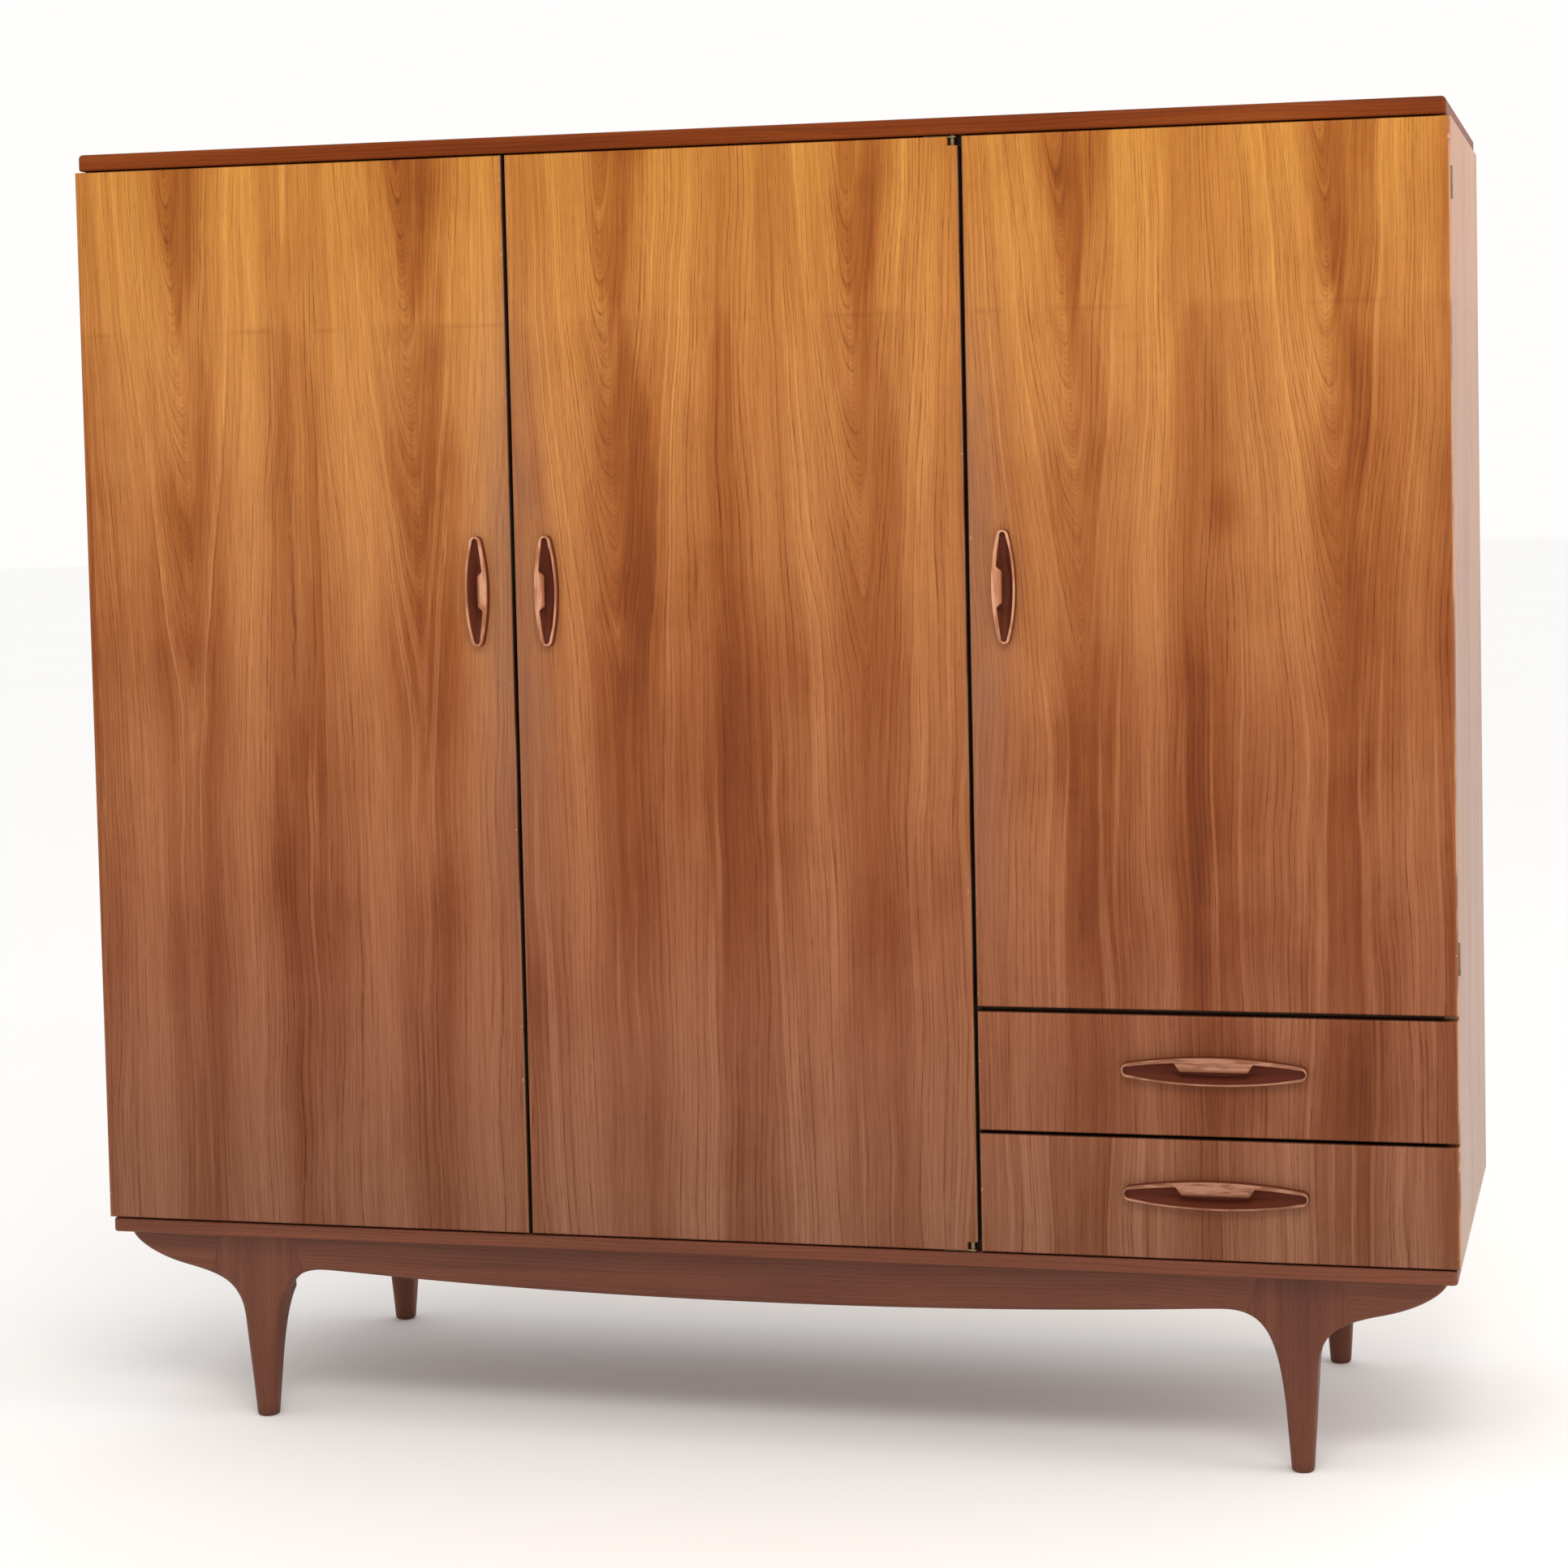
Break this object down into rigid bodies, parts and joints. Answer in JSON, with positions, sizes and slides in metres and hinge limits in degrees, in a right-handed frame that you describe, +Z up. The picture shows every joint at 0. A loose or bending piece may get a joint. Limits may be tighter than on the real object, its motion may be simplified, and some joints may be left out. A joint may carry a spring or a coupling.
{
  "type": "wardrobe",
  "caption": "Teak wardrobe with equal hinged doors over a hanging space and linen shelves, drawers at lower right, carved oval pulls, and a bellied apron on tapered legs.",
  "frame": {"origin": "on the floor under the middle of the whole wardrobe, pulls and back screws included", "axes": "+X to the right seen from the front, +Y to the back, +Z up; the doors open towards -Y"},
  "size_m": [1.905, 0.6136, 1.79],
  "materials": {
    "teak_veneer_front": "satin oiled teak veneer, vertical grain",
    "teak_veneer_side": "satin oiled teak veneer, vertical grain",
    "teak_board": "satin solid teak, long grain",
    "teak_base": "satin solid teak",
    "teak_pull": "carved solid teak, hand polished",
    "inner_veneer": "matt light veneer",
    "beech": "matt beech",
    "plywood": "raw plywood",
    "rail_steel": "plated steel tube",
    "hinge_steel": "aged steel",
    "screw_steel": "aged steel",
    "catch_plastic": "moulded case"
  },
  "bodies": {
    "carcass": {"back_batten": "beech", "back_panel_left": "plywood", "back_panel_middle": "plywood", "back_panel_right": "plywood", "back_screws": "screw_steel", "base_centre_rail": "beech", "base_screws": "screw_steel", "base_side_rails": "beech", "bottom_board": "teak_board", "clothes_rail": "rail_steel", "door_catches": "catch_plastic", "drawer_divider": "inner_veneer", "drawer_runners": "beech", "front_apron": "teak_base", "front_left_leg": "teak_base", "front_right_leg": "teak_base", "hat_shelf": "inner_veneer", "hinge_pins": "hinge_steel", "left_side": "teak_veneer_side", "linen_shelves": "inner_veneer", "partition": "inner_veneer", "pivot_pins": "hinge_steel", "rail_hanger": "rail_steel", "rail_sockets": "rail_steel", "rear_apron": "teak_base", "rear_left_leg": "teak_base", "rear_right_leg": "teak_base", "right_side": "teak_veneer_side", "runner_screws": "screw_steel", "shelf_pegs": "beech", "side_hinge_leaves": "hinge_steel", "side_hinge_screws": "screw_steel", "top_board": "teak_board"},
    "left_door": {"left_door_hinge_leaves": "hinge_steel", "left_door_hinge_screws": "screw_steel", "left_door_panel": "teak_veneer_front", "left_door_pull": "teak_pull", "left_strike_plate": "hinge_steel"},
    "middle_door": {"middle_door_panel": "teak_veneer_front", "middle_door_pull": "teak_pull", "middle_strike_plate": "hinge_steel", "pivot_arm_screws": "screw_steel", "pivot_arms": "hinge_steel"},
    "right_door": {"right_door_hinge_leaves": "hinge_steel", "right_door_hinge_screws": "screw_steel", "right_door_panel": "teak_veneer_front", "right_door_pull": "teak_pull", "right_strike_plate": "hinge_steel"},
    "upper_drawer": {"upper_drawer_back": "beech", "upper_drawer_bottom": "plywood", "upper_drawer_front": "teak_veneer_front", "upper_drawer_left_side": "beech", "upper_drawer_pull": "teak_pull", "upper_drawer_right_side": "beech"},
    "lower_drawer": {"lower_drawer_back": "beech", "lower_drawer_bottom": "plywood", "lower_drawer_front": "teak_veneer_front", "lower_drawer_left_side": "beech", "lower_drawer_pull": "teak_pull", "lower_drawer_right_side": "beech"}
  },
  "joints": [
    {"name": "left_door_hinge", "type": "hinge", "parent": "carcass", "child": "left_door", "pos_m": [-0.95, -0.2733, 1.027], "axis": [0, 0, -1], "range_deg": [0, 170]},
    {"name": "middle_door_pivot", "type": "hinge", "parent": "carcass", "child": "middle_door", "pos_m": [0.3065, -0.2878, 1.027], "axis": [0, 0, 1], "range_deg": [0, 90]},
    {"name": "right_door_hinge", "type": "hinge", "parent": "carcass", "child": "right_door", "pos_m": [0.95, -0.2733, 1.19], "axis": [0, 0, 1], "range_deg": [0, 170]},
    {"name": "upper_drawer_slide", "type": "slide", "parent": "carcass", "child": "upper_drawer", "axis": [0, -1, 0], "range_m": [0, 0.36]},
    {"name": "lower_drawer_slide", "type": "slide", "parent": "carcass", "child": "lower_drawer", "axis": [0, -1, 0], "range_m": [0, 0.36]}
  ]
}
